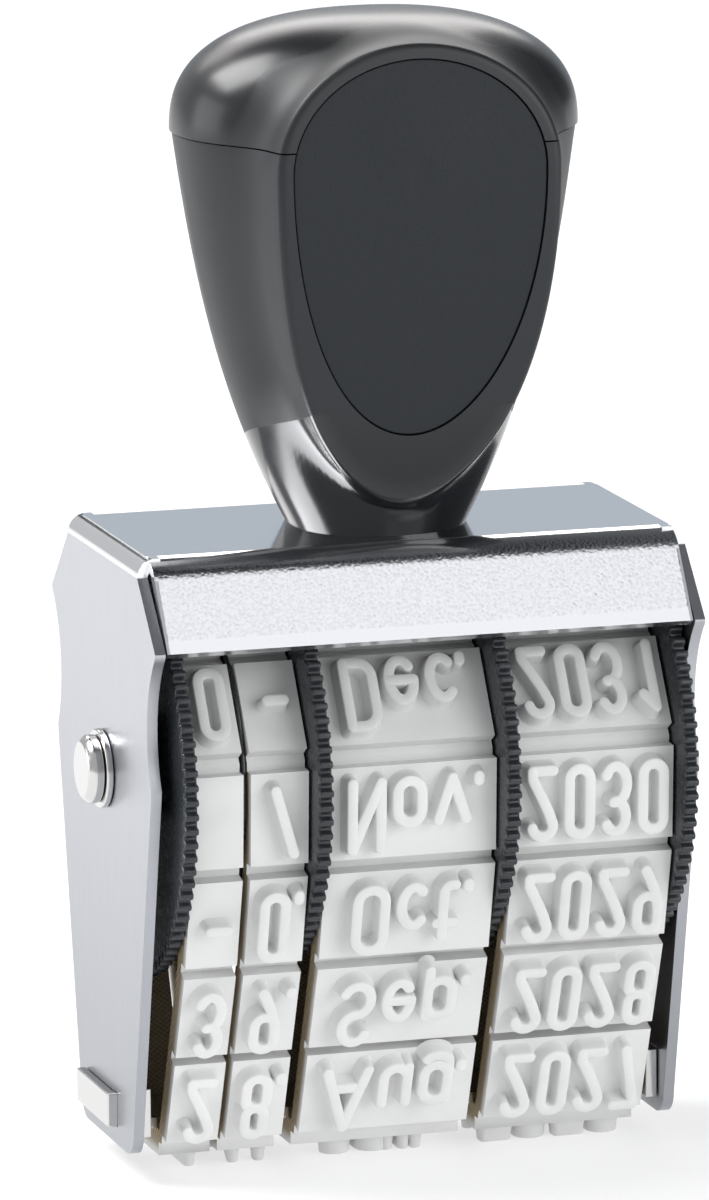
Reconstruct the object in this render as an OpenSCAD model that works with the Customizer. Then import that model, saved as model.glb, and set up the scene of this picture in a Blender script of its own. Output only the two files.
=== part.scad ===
// Hand dater: four endless rubber type bands, each turned by a toothed thumb wheel on one axle,
// in a bent sheet frame with a moulded handle on top.
// It stands on the type of its printing line. The front faces -Y and the axle runs along X.

/* [Type bands] */
// Length of one type block along its band
type_pitch = 6.6; // [5.8:0.1:7.6]
// Width of the band with the first figure of the day
day_tens_w = 3.4; // [2.6:0.1:5]
// Width of the band with the second figure of the day
day_units_w = 3.8; // [2.6:0.1:5]
// Width of the month band
month_w = 11.3; // [9:0.1:14]
// Width of the year band
year_w = 10.7; // [9:0.1:14]
// Thickness of the woven backing
backing_t = 0.5; // [0.3:0.05:0.7]
// Height of a rubber block above the backing
block_h = 1.2; // [0.9:0.05:1.6]
// Rubber left under the groove between two blocks
web_t = 0.3; // [0.2:0.05:0.5]
// Width of the groove between two blocks
groove_w = 0.6; // [0.4:0.05:1]
// Height of the raised type above its block
type_h = 1.05; // [0.7:0.05:1.3]
// Height of the figures along the band
figure_h = 4.9; // [4:0.1:5.1]
// Bare rubber beside the type on each side
type_margin = 0.45; // [0.3:0.05:0.8]
// Lean of the two lowest blocks on each side, from upright
lean_low = 21; // [17:0.5:24]
// Lean of the third block on each side
lean_mid = 14; // [11:0.5:17]
// Lean of the fourth block on each side
lean_high = 2; // [0:0.5:5]
// Lean of the fifth block, over the drum
lean_over = 33; // [30:0.5:36]

/* [Thumb wheels] */
// Radius of a thumb wheel over its teeth
wheel_r = 13.5; // [12.8:0.1:15]
// Thickness of the toothed disc
disc_t = 0.9; // [0.6:0.05:1.3]
// Number of teeth round the rim
tooth_count = 90; // [60:1:100]
// Depth of a tooth
tooth_h = 0.45; // [0.3:0.05:0.6]
// Share of the tooth pitch that the valley takes
tooth_valley = 0.3; // [0.2:0.05:0.5]
// Share of the tooth pitch that one flank takes
tooth_flank = 0.15; // [0.05:0.05:0.2]
// Radius of the drum that carries a band
drum_r = 8.55; // [8:0.05:8.8]
// Thickness of the guide flange between the two day bands
flange_t = 0.25; // [0.2:0.05:0.4]
// How far the guide flange stands out of the rubber
flange_proud = 0.3; // [0.1:0.05:0.8]

/* [Axle] */
// Diameter of the axle
axle_d = 3; // [2.5:0.1:4]
// Diameter of the rivet heads on the axle
rivet_d = 4.4; // [4.1:0.1:6]
// Height of a rivet head
rivet_h = 1; // [0.6:0.1:1.4]
// Width of the chamfer round a rivet head
rivet_edge = 0.4; // [0.2:0.05:0.5]
// Diameter of the ring under a rivet head
ring_d = 5.1; // [4.7:0.1:7]
// Thickness of the ring under a rivet head
ring_t = 0.45; // [0.3:0.05:0.8]
// Diameter of the spacer inside the left plate
spacer_d = 7; // [5.5:0.1:10]
// Thickness of the spacer inside the left plate
spacer_t = 0.6; // [0.4:0.05:1]

/* [Frame] */
// Thickness of the frame sheet
plate_t = 0.7; // [0.5:0.05:0.9]
// Outer radius of the bends into the side plates
bend_r = 1.2; // [1:0.05:1.5]
// Outer radius of the wider bends into the flaps
flap_r = 2.8; // [2.2:0.1:3.2]
// How far the bends into the side plates run on past the start of the flaps' bends
fold_over = 1.05; // [0.6:0.05:1.2]
// Free space between the wheel rims and the top plate
rim_gap = 0.85; // [0.5:0.05:1.5]
// How far the type stands out past the flaps' edges
type_show = 0.2; // [0:0.05:0.4]
// Depth from the top plate's bend out to the flap's edge
flap_run = 5.05; // [4.5:0.05:5.6]
// Slope of the front and rear flaps below level
flap_angle = 56.5; // [52:0.5:60]
// Seam between a flap's end and the side plate
seam_gap = 0.12; // [0.05:0.01:0.2]
// Half depth of the side plates at the waist under the flaps
waist_y = 10.1; // [9.6:0.1:10.6]
// Radius of the waist's curve
waist_r = 7.7; // [7:0.1:9]
// Height of the waist above the axle
waist_rise = 4.3; // [3.8:0.1:4.8]
// Half depth of the side plates just under the axle
hip_y = 10.9; // [10.5:0.1:11.5]
// Half depth of the side plates at the foot
foot_y = 6.2; // [5.8:0.1:7]
// Height of the foot above the type's face
foot_z = 1.8; // [1.3:0.1:2]
// Radius of the foot's corners
foot_r = 1.6; // [0.8:0.1:2.2]

/* [Bridge] */
// Thickness of the bridge that presses on the printing line
bridge_t = 0.8; // [0.6:0.05:1.1]
// How far the bridge stays inside the printing block's edges
bridge_inset = 0.4; // [0.2:0.05:0.8]
// Half depth of the bridge's upturned ends
bridge_end_y = 5; // [4.2:0.1:5.4]
// Height of the upturned ends above the bridge's top
bridge_end_h = 2.4; // [1.8:0.1:3]
// Thickness of the locking tab outside the side plate
tab_t = 0.6; // [0.4:0.05:0.8]
// Front edge of the locking tab
tab_front_y = -2.4; // [-3:0.1:-1.5]
// Length of the locking tab
tab_len = 7.4; // [6:0.1:7.8]
// Height of the locking tab
tab_h = 2.2; // [1.6:0.1:2.6]

/* [Handle] */
// Radius of the handle's round neck
neck_r = 5.7; // [5:0.1:6.5]
// Half width of the handle at its seam
grip_x = 13; // [11.5:0.1:14.5]
// Half depth of the handle at its seam
grip_y = 9.4; // [9:0.1:9.6]
// How fast the handle swells out of the neck
swell_low = 1.87; // [1.5:0.01:2]
// How fast it still swells at the seam
swell_high = 0.5; // [0.2:0.05:0.8]
// Squareness of the handle seen from above, 2 for an ellipse
grip_power = 2.2; // [2:0.1:3]
// Squareness of the cap's dome seen from the side
cap_power = 2.5; // [2:0.1:3]
// Height of the seam above the top plate
seam_h = 25.5; // [24:0.5:27]
// Height of the cap above the seam
cap_h = 7.5; // [7:0.1:8.4]
// Overhang of the cap over the body at the seam
cap_lip = 0.15; // [0:0.05:0.2]
// Gap between the cap and the body at the seam
cap_gap = 0.1; // [0.05:0.01:0.2]
// Half width of the raised shield on the handle's front
shield_x = 9.3; // [8.4:0.1:9.8]
// Height of the shield's widest place above the top plate
shield_h = 24; // [22:0.5:26]
// Reach of the shield above its widest place
shield_up = 8; // [7:0.1:8.6]
// Reach of the shield below its widest place
shield_down = 21.5; // [19:0.5:22]
// Distance of the shield's face in front of the handle's axis
shield_y = 10.1; // [9.8:0.1:10.6]
// Growth of the shield's width from its face back to the handle's middle
shield_flare = 1.25; // [1:0.05:1.4]
// Start of the shield's chin above the top plate
chin_lift = 1; // [0.5:0.1:3]
// How far the chin starts in front of the neck
chin_proud = 0.4; // [0:0.1:1]
// Rise of the chin's slope for each unit that it comes forward
chin_rise = 2; // [1.4:0.1:3]
// Depth of the shield face's foremost place below the shield's widest place
face_drop = 1; // [0:0.5:3]
// Radius of the shield face's upright curve
shield_r = 60; // [54:1:70]
// Width of the shield's rim around the inlaid panel
rim_w = 1; // [0.7:0.05:1.3]
// Reach of the panel below its widest place
panel_down = 17.1; // [15:0.1:18]
// Thickness of the inlaid panel
panel_t = 0.8; // [0.5:0.05:1.2]
// How far the panel lies below the rim
panel_drop = 0.1; // [0.05:0.05:0.3]
// Gap around the panel
panel_gap = 0.15; // [0.1:0.05:0.3]

/* [Handle screw] */
// Diameter of the screw
screw_d = 3; // [2.5:0.1:4]
// Depth of the screw in the handle
screw_depth = 12; // [8:0.5:18]
// Diameter of the screw's head
screw_head_d = 5.5; // [5:0.1:6.5]
// Height of the screw's head
screw_head_h = 1.1; // [0.7:0.05:1.3]
// Diameter of the washer under the screw's head
washer_d = 7; // [6:0.1:8.5]
// Thickness of the washer under the screw's head
washer_t = 0.4; // [0.3:0.05:0.5]

/* [Clearances] */
// Gap between neighbours along the axle
side_gap = 0.12; // [0.08:0.01:0.2]
// Radial running clearance of the wheels on the axle
run_gap = 0.05; // [0.02:0.01:0.09]
// Gap between a drum and the inside of its band
drum_gap = 0.15; // [0.1:0.01:0.3]
// Gap between fixed pieces that seat on each other
seat_gap = 0.04; // [0.02:0.01:0.1]

/* [Hidden] */
$fn = 64;
far = 60;

// Stack along the axle, from the inside of the left plate to the inside of the right one
stack_w = spacer_t + 4*disc_t + flange_t + day_tens_w + day_units_w + month_w + year_w + 11*side_gap;
half_in = stack_w/2;
half_w = half_in + plate_t;
spacer_x = -half_in + side_gap;
tens_disc_x = spacer_x + spacer_t + side_gap;
tens_x = tens_disc_x + disc_t + side_gap;
flange_x = tens_x + day_tens_w + side_gap;
units_x = flange_x + flange_t + side_gap;
units_disc_x = units_x + day_units_w + side_gap;
month_x = units_disc_x + disc_t + side_gap;
month_disc_x = month_x + month_w + side_gap;
year_x = month_disc_x + disc_t + side_gap;
year_disc_x = year_x + year_w + side_gap;

// Bending line of a band: half of the loop climbs from the printing block to the top
line_z = type_h + block_h + backing_t/2;
leans = [lean_low, lean_low, lean_mid, lean_high, -lean_over];
steps = len(leans);
function climb(n) = n == 0 ? [-type_pitch/2, line_z]
    : climb(n - 1) + type_pitch*[-sin(leans[n - 1]), cos(leans[n - 1])];
front_line = [for (n = [0:steps]) climb(n)];
last = front_line[steps];
top_point = [0, last.y + sqrt(type_pitch^2 - last.x^2)];
loop = concat(front_line, [top_point], [for (n = [steps:-1:0]) [-front_line[n].x, front_line[n].y]]);
blocks = len(loop);
function corner(i) = loop[(i + blocks) % blocks];
function along(i) = (corner(i + 1) - corner(i))/type_pitch;
function outward(i) = [-along(i).y, along(i).x];
function type_corner(i, e) = corner(i) + (type_pitch + e*figure_h)/2*along(i)
    + (backing_t/2 + block_h + type_h)*outward(i);
function shifted(i, d) = corner(i) + d*(outward(i - 1) + outward(i))/(1 + outward(i - 1)*outward(i));

// Reach of the bands, and heights that follow from the bands and the wheels
type_reach = max([for (i = [0:blocks - 1], e = [-1, 1]) -type_corner(i, e).x]);
top_slope = atan2(top_point.y - last.y, -last.x);
axle_z = top_point.y - (drum_r + drum_gap + backing_t/2)/cos(top_slope);
top_z = axle_z + wheel_r + rim_gap + plate_t;
axle_r = axle_d/2;
bore_r = axle_r + run_gap;

// Frame profile
shoulder_y = type_reach - type_show;
flat_y = shoulder_y - flap_run;
bend_end = [flat_y + flap_r*sin(flap_angle), top_z - flap_r*(1 - cos(flap_angle))];
flap_len = (shoulder_y - bend_end.x)/cos(flap_angle);
flap_z = bend_end.y - flap_len*sin(flap_angle);
fold_z = top_z - bend_r;
fold_y = flat_y + fold_over;
waist_z = axle_z + waist_rise;
hip_z = axle_z;

// Bridge
bridge_z = line_z + backing_t/2 + seat_gap;
bridge_y = type_pitch/2 - bridge_inset;
bridge_x = half_in - seat_gap;
tab_z = bridge_z + bridge_t/4;
tab_x = half_w + seat_gap;

// Handle
seam_z = top_z + seam_h;
shield_z = top_z + shield_h;
panel_x = shield_x - rim_w;
panel_up = shield_up - rim_w;
chin_z = top_z + chin_lift;
chin_y = neck_r + chin_proud;
grip_sides = 48;
grip_rings = 14;
cap_rings = 9;
cap_turn = 86;

// Two-dimensional [y, z] shapes pushed along X from x
module along_x(x, len) {
    translate([x, 0, 0])
        rotate([90, 0, 90])
            linear_extrude(len)
                children();
}

// Two-dimensional shapes about the shield's widest place, pushed from the handle's middle to the front
module to_front(shrink) {
    translate([0, 0, shield_z])
        rotate([90, 0, 0])
            linear_extrude(shield_y, scale = shrink, slices = 1)
                children();
}

module both_sides() {
    children();
    mirror([1, 0, 0])
        children();
}

module on_axle(x, len, r) {
    translate([x, 0, axle_z])
        rotate([0, 90, 0])
            cylinder(len, r, r);
}

// Frame
module sheet_profile() {
    translate([-flat_y, top_z - plate_t])
        square([2*flat_y, plate_t]);
    for (side = [0, 1])
        mirror([side, 0])
            translate([flat_y, top_z - flap_r])
                rotate(-flap_angle) {
                    difference() {
                        circle(flap_r);
                        circle(flap_r - plate_t);
                        translate([0, -flap_r])
                            square([flap_r, 2*flap_r]);
                        translate([-flap_r, -flap_r])
                            square([2*flap_r, flap_r]);
                        rotate(flap_angle)
                            translate([-2*flap_r, -flap_r])
                                square([2*flap_r, 3*flap_r]);
                    }
                    translate([0, flap_r - plate_t])
                        square([flap_len, plate_t]);
                }
}

// Quarter bend from the top plate down into a side plate, with a straight lap at each end
module fold_profile() {
    lap = plate_t/2;
    difference() {
        circle(bend_r);
        circle(bend_r - plate_t);
        translate([-bend_r, -bend_r])
            square([bend_r, 2*bend_r]);
        translate([-bend_r, -bend_r])
            square([2*bend_r, bend_r]);
    }
    translate([-lap, bend_r - plate_t])
        square([lap, plate_t]);
    translate([bend_r - plate_t, -lap])
        square([plate_t, lap]);
}

module plate_outline() {
    difference() {
        union() {
            polygon([
                [-fold_y, fold_z], [fold_y, fold_z], [shoulder_y, flap_z], [hip_y, hip_z],
                [foot_y, foot_z + foot_r], [-foot_y, foot_z + foot_r], [-hip_y, hip_z], [-shoulder_y, flap_z]
            ]);
            translate([-foot_y + foot_r, foot_z])
                square([2*(foot_y - foot_r), 2*foot_r]);
            for (side = [-1, 1])
                translate([side*(foot_y - foot_r), foot_z + foot_r])
                    circle(foot_r);
        }
        for (side = [-1, 1])
            translate([side*(waist_y + waist_r), waist_z])
                circle(waist_r);
        translate([0, axle_z])
            circle(bore_r);
        translate([tab_front_y - seat_gap, tab_z - seat_gap])
            square([bridge_t + 2*seat_gap, tab_h + 2*seat_gap]);
    }
}

module frame() {
    color("silver")
        difference() {
            union() {
                along_x(-half_in + seam_gap, 2*(half_in - seam_gap))
                    sheet_profile();
                translate([-half_w + bend_r, -flat_y, top_z - plate_t])
                    cube([2*(half_w - bend_r), 2*flat_y, plate_t]);
                both_sides() {
                    along_x(half_in, plate_t)
                        plate_outline();
                    translate([half_w - bend_r, fold_y, fold_z])
                        rotate([90, 0, 0])
                            linear_extrude(2*fold_y)
                                fold_profile();
                }
            }
            translate([0, 0, top_z - 2*plate_t])
                cylinder(3*plate_t, screw_d/2 + side_gap, screw_d/2 + side_gap);
        }
}

// Bridge with upturned ends and locking tabs
module bridge() {
    color("gainsboro") {
        translate([-bridge_x, -bridge_y, bridge_z])
            cube([2*bridge_x, 2*bridge_y, bridge_t]);
        both_sides() {
            translate([bridge_x - bridge_t, -bridge_end_y, bridge_z])
                cube([bridge_t, 2*bridge_end_y, bridge_t + bridge_end_h]);
            translate([bridge_x - bridge_t, tab_front_y, tab_z])
                cube([tab_x + tab_t - bridge_x + bridge_t, bridge_t, tab_h]);
            translate([tab_x, tab_front_y, tab_z])
                cube([tab_t, tab_len, tab_h]);
        }
    }
}

// Axle, riveted over at both ends
module axle() {
    head_x = half_w + seat_gap + ring_t + seat_gap;
    color("lightgray") {
        on_axle(-head_x, 2*head_x, axle_r);
        both_sides()
            translate([head_x, 0, axle_z])
                rotate([0, 90, 0])
                    rotate_extrude()
                        polygon([
                            [0, 0], [rivet_d/2, 0], [rivet_d/2, rivet_h - rivet_edge],
                            [rivet_d/2 - rivet_edge, rivet_h], [0, rivet_h]
                        ]);
    }
}

module axle_rings() {
    color("gainsboro")
        both_sides()
            difference() {
                on_axle(half_w + seat_gap, ring_t, ring_d/2);
                on_axle(half_w, 2*ring_t, bore_r);
            }
}

module axle_spacer() {
    color("dimgray")
        difference() {
            on_axle(spacer_x, spacer_t, spacer_d/2);
            on_axle(spacer_x - spacer_t, 3*spacer_t, bore_r);
        }
}

// Thumb wheels
module toothed_disc() {
    pitch_angle = 360/tooth_count;
    root_r = wheel_r - tooth_h;
    tooth = [
        [0, root_r], [tooth_valley, root_r],
        [tooth_valley + tooth_flank, wheel_r], [1 - tooth_flank, wheel_r]
    ];
    polygon([
        for (i = [0:tooth_count - 1], c = tooth)
            c[1]*[cos((i + c[0])*pitch_angle), sin((i + c[0])*pitch_angle)]
    ]);
}

module thumb_wheel(disc_x, drum_x, drum_len) {
    color("#202225")
        difference() {
            union() {
                translate([0, 0, axle_z])
                    along_x(disc_x, disc_t)
                        toothed_disc();
                on_axle(drum_x, drum_len, drum_r);
                children();
            }
            on_axle(-far, 2*far, bore_r);
        }
}

module day_tens_wheel() {
    thumb_wheel(tens_disc_x, tens_disc_x, flange_x - side_gap - tens_disc_x);
}

module day_units_wheel() {
    thumb_wheel(units_disc_x, flange_x, units_disc_x + disc_t - flange_x)
        on_axle(flange_x, flange_t, drum_r + drum_gap + backing_t + block_h + flange_proud);
}

module month_wheel() {
    thumb_wheel(month_disc_x, month_x, month_disc_x + disc_t - month_x);
}

module year_wheel() {
    thumb_wheel(year_disc_x, year_x, year_disc_x + disc_t - year_x);
}

// Type bands
module backing_profile() {
    difference() {
        polygon([for (i = [0:blocks - 1]) shifted(i, backing_t/2)]);
        polygon([for (i = [0:blocks - 1]) shifted(i, -backing_t/2)]);
    }
}

module block_profile() {
    face = backing_t/2;
    edges = [
        [groove_w/2, web_t], [groove_w/2, block_h],
        [type_pitch - groove_w/2, block_h], [type_pitch - groove_w/2, web_t]
    ];
    difference() {
        polygon([
            for (i = [0:blocks - 1])
                each concat(
                    [shifted(i, face + web_t)],
                    [for (e = edges) corner(i) + e[0]*along(i) + (face + e[1])*outward(i)]
                )
        ]);
        polygon([for (i = [0:blocks - 1]) shifted(i, face)]);
    }
}

// Two-dimensional shapes at the middle of block i, first axis along the band, second outwards
module on_block(i) {
    middle = (corner(i) + corner(i + 1))/2;
    multmatrix([
        [along(i).x, outward(i).x, 0, middle.x],
        [along(i).y, outward(i).y, 0, middle.y],
        [0, 0, 1, 0],
        [0, 0, 0, 1]
    ])
        children();
}

module backing(x, w) {
    color("#a08c68")
        along_x(x, w)
            backing_profile();
}

module type_band(x, w) {
    color("#d9dad6") {
        along_x(x, w)
            block_profile();
        for (i = [0:blocks - 1])
            along_x(x + type_margin, w - 2*type_margin)
                on_block(i)
                    translate([-figure_h/2, backing_t/2 + block_h/2])
                        square([figure_h, block_h/2 + type_h]);
    }
}

module day_tens_backing() {
    backing(tens_x, day_tens_w);
}

module day_units_backing() {
    backing(units_x, day_units_w);
}

module month_backing() {
    backing(month_x, month_w);
}

module year_backing() {
    backing(year_x, year_w);
}

module day_tens_band() {
    type_band(tens_x, day_tens_w);
}

module day_units_band() {
    type_band(units_x, day_units_w);
}

module month_band() {
    type_band(month_x, month_w);
}

module year_band() {
    type_band(year_x, year_w);
}

// Handle
function hermite(u, m0, m1) = u*u*(3 - 2*u) + m0*u*(1 - u)^2 - m1*u*u*(1 - u);
function power(v, e) = sign(v)*abs(v)^e;
function grip_ring(a, b, z) = [
    for (i = [0:grip_sides - 1])
        let (t = 360*i/grip_sides)
            [a*power(cos(t), 2/grip_power), b*power(sin(t), 2/grip_power), z]
];
function swell(u) = hermite(u, swell_low, swell_high);

// Closed solid through rings of grip_sides points each, lowest first
module loft(rings) {
    n = len(rings);
    m = grip_sides;
    polyhedron(
        points = [for (ring = rings, p = ring) p],
        faces = concat(
            [[for (i = [0:m - 1]) i]],
            [for (k = [0:n - 2], i = [0:m - 1]) [k*m + i, (k + 1)*m + i, (k + 1)*m + (i + 1) % m]],
            [for (k = [0:n - 2], i = [0:m - 1]) [k*m + i, (k + 1)*m + (i + 1) % m, k*m + (i + 1) % m]],
            [[for (i = [m - 1:-1:0]) (n - 1)*m + i]]
        )
    );
}

module shield_outline(half, up, down) {
    count = 40;
    polygon([
        for (i = [0:count - 1])
            let (t = 360*i/count)
                [half*cos(t), (sin(t) > 0 ? up : down)*sin(t)]
    ]);
}

// Side view of the shield: its face curves about a far centre and its chin runs in to the neck
module shield_side(depth) {
    intersection() {
        translate([shield_r - shield_y, shield_z - face_drop])
            circle(shield_r - depth, $fn = 180);
        polygon([
            [0, chin_z], [-chin_y, chin_z], [-far, chin_z + chin_rise*(far - chin_y)], [0, top_z + far]
        ]);
    }
}

module shield() {
    intersection() {
        to_front([1/shield_flare, 1])
            shield_outline(shield_x*shield_flare, shield_up, shield_down);
        along_x(-far, 2*far)
            shield_side(0);
    }
}

module inlay(gap) {
    to_front(1)
        shield_outline(panel_x + gap, panel_up + gap, panel_down + gap);
}

module panel_seat() {
    difference() {
        inlay(panel_gap);
        along_x(-far, 2*far)
            shield_side(panel_drop + panel_t + seat_gap);
    }
}

module handle_body() {
    color("#3a3d40")
        difference() {
            union() {
                loft([
                    for (k = [0:grip_rings])
                        let (u = k/grip_rings)
                            grip_ring(neck_r + (grip_x - neck_r)*swell(u), neck_r + (grip_y - neck_r)*swell(u),
                                top_z + u*(seam_h - cap_gap/2))
                ]);
                intersection() {
                    shield();
                    translate([-far, -far, 0])
                        cube([2*far, 2*far, seam_z - cap_gap/2]);
                }
            }
            panel_seat();
            translate([0, 0, top_z - screw_depth])
                cylinder(2*screw_depth + screw_head_h, screw_d/2 + run_gap, screw_d/2 + run_gap);
        }
}

module handle_cap() {
    color("#303236")
        difference() {
            union() {
                loft([
                    for (k = [0:cap_rings])
                        let (t = cap_turn*k/cap_rings, r = cos(t)^(2/cap_power))
                            grip_ring((grip_x + cap_lip)*r, (grip_y + cap_lip)*r,
                                seam_z + cap_gap/2 + cap_h*sin(t)^(2/cap_power))
                ]);
                intersection() {
                    shield();
                    translate([-far, -far, seam_z + cap_gap/2])
                        cube([2*far, 2*far, far]);
                }
            }
            panel_seat();
        }
}

module front_panel() {
    color("#3f4245")
        difference() {
            intersection() {
                inlay(0);
                along_x(-far, 2*far)
                    shield_side(panel_drop);
            }
            along_x(-far, 2*far)
                shield_side(panel_drop + panel_t);
        }
}

// Screw that draws the handle down on the top plate
module handle_screw() {
    head_z = top_z - plate_t - washer_t - 2*seat_gap - screw_head_h;
    color("lightgray") {
        translate([0, 0, head_z])
            cylinder(screw_head_h, screw_head_d/2, screw_head_d/2);
        translate([0, 0, head_z])
            cylinder(top_z + screw_depth - head_z, screw_d/2, screw_d/2);
    }
}

module screw_washer() {
    color("gainsboro")
        translate([0, 0, top_z - plate_t - seat_gap - washer_t])
            difference() {
                cylinder(washer_t, washer_d/2, washer_d/2);
                translate([0, 0, -washer_t])
                    cylinder(3*washer_t, screw_d/2 + run_gap, screw_d/2 + run_gap);
            }
}

frame();
bridge();
axle();
axle_rings();
axle_spacer();
day_tens_wheel();
day_units_wheel();
month_wheel();
year_wheel();
day_tens_backing();
day_units_backing();
month_backing();
year_backing();
day_tens_band();
day_units_band();
month_band();
year_band();
handle_body();
handle_cap();
front_panel();
handle_screw();
screw_washer();
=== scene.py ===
"""Looks of a hand date stamp: a moulded handle, a chromed sheet frame, thumb wheels and raised rubber type."""
import logging
import math
from collections.abc import Callable, Iterator, Sequence
from contextlib import contextmanager
from dataclasses import dataclass
from enum import Enum

import bpy
import numpy as np
from mathutils import Matrix, Vector


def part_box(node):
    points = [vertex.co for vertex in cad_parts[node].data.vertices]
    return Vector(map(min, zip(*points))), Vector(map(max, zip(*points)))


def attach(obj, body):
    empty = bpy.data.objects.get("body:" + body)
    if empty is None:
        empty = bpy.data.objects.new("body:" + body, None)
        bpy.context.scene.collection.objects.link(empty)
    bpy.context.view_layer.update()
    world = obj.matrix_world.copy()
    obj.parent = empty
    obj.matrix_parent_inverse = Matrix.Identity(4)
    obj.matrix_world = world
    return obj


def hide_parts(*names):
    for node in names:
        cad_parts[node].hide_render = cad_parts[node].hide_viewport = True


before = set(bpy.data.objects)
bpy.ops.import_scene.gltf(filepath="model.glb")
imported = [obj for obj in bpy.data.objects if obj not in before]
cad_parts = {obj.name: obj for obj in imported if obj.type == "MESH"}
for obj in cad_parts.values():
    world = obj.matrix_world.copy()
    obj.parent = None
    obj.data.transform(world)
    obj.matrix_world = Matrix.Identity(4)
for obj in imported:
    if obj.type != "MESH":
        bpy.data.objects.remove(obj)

Array = np.ndarray
Object = bpy.types.Object
Material = bpy.types.Material
Point = tuple[float, float]
Triple = tuple[float, float, float]
Colour = Triple

LOG = logging.getLogger("date_stamp")
EDGE = "edge"  # attribute that marks where a band is stained by its backing
MM = 0.001  # in metres
TINY = 1e-6  # keeps divisors off 0
WELD = 0.001  # mm within which a solid's points are one
FLAT_ANGLE = 0.4  # degrees within which a solid's faces are one
FOLD_ANGLE = 40.0  # degrees from which an edge is sharp
FINE = 3.0  # octaves of a noise with small detail
LAMP_WATTS = 4.0  # of an area lamp, for each square metre and unit of radiance
CARD_FACES = (24, 12)
CARD_FADE = (150.0, 250.0)  # mm to the right


class Slot(Enum):
    """Material slots of the record."""

    SHEET = "chrome_sheet"
    STEEL = "bright_steel"
    WHEEL = "wheel_plastic"
    RUBBER = "type_rubber"
    WOVEN = "woven_backing"
    GRIP = "grip_plastic"
    CAP = "cap_plastic"
    PANEL = "panel_plastic"


class Body(Enum):
    """Bodies that pieces ride on."""

    ROOT = "root"
    DAY_TENS = "day_tens_drive"
    DAY_UNITS = "day_units_drive"
    MONTH = "month_drive"
    YEAR = "year_drive"


def opaque(colour: Colour) -> tuple[float, float, float, float]:
    """A colour with full alpha."""
    return (*colour, 1.0)


def arithmetic(operation: str, swapped: bool = False) -> Callable[..., "Sock"]:
    """Makes an arithmetic method of Sock.

    Args:
        operation: the Math node's operation.
        swapped: whether the other value stands on the left.

    Returns:
        The method.
    """

    def method(self: "Sock", other: "Value" = 0.0) -> "Sock":
        """Result as a new value."""
        return self.graph.math(operation, *((other, self) if swapped else (self, other)))

    return method


@dataclass(frozen=True, eq=False)
class Sock:
    """A shader value that takes part in Python expressions."""

    graph: "Graph"
    socket: bpy.types.NodeSocket

    __add__ = arithmetic("ADD")
    __radd__ = arithmetic("ADD", True)
    __sub__ = arithmetic("SUBTRACT")
    __rsub__ = arithmetic("SUBTRACT", True)
    __mul__ = arithmetic("MULTIPLY")
    __rmul__ = arithmetic("MULTIPLY", True)
    __truediv__ = arithmetic("DIVIDE")
    __abs__ = arithmetic("ABSOLUTE")


Value = Sock | float


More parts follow.
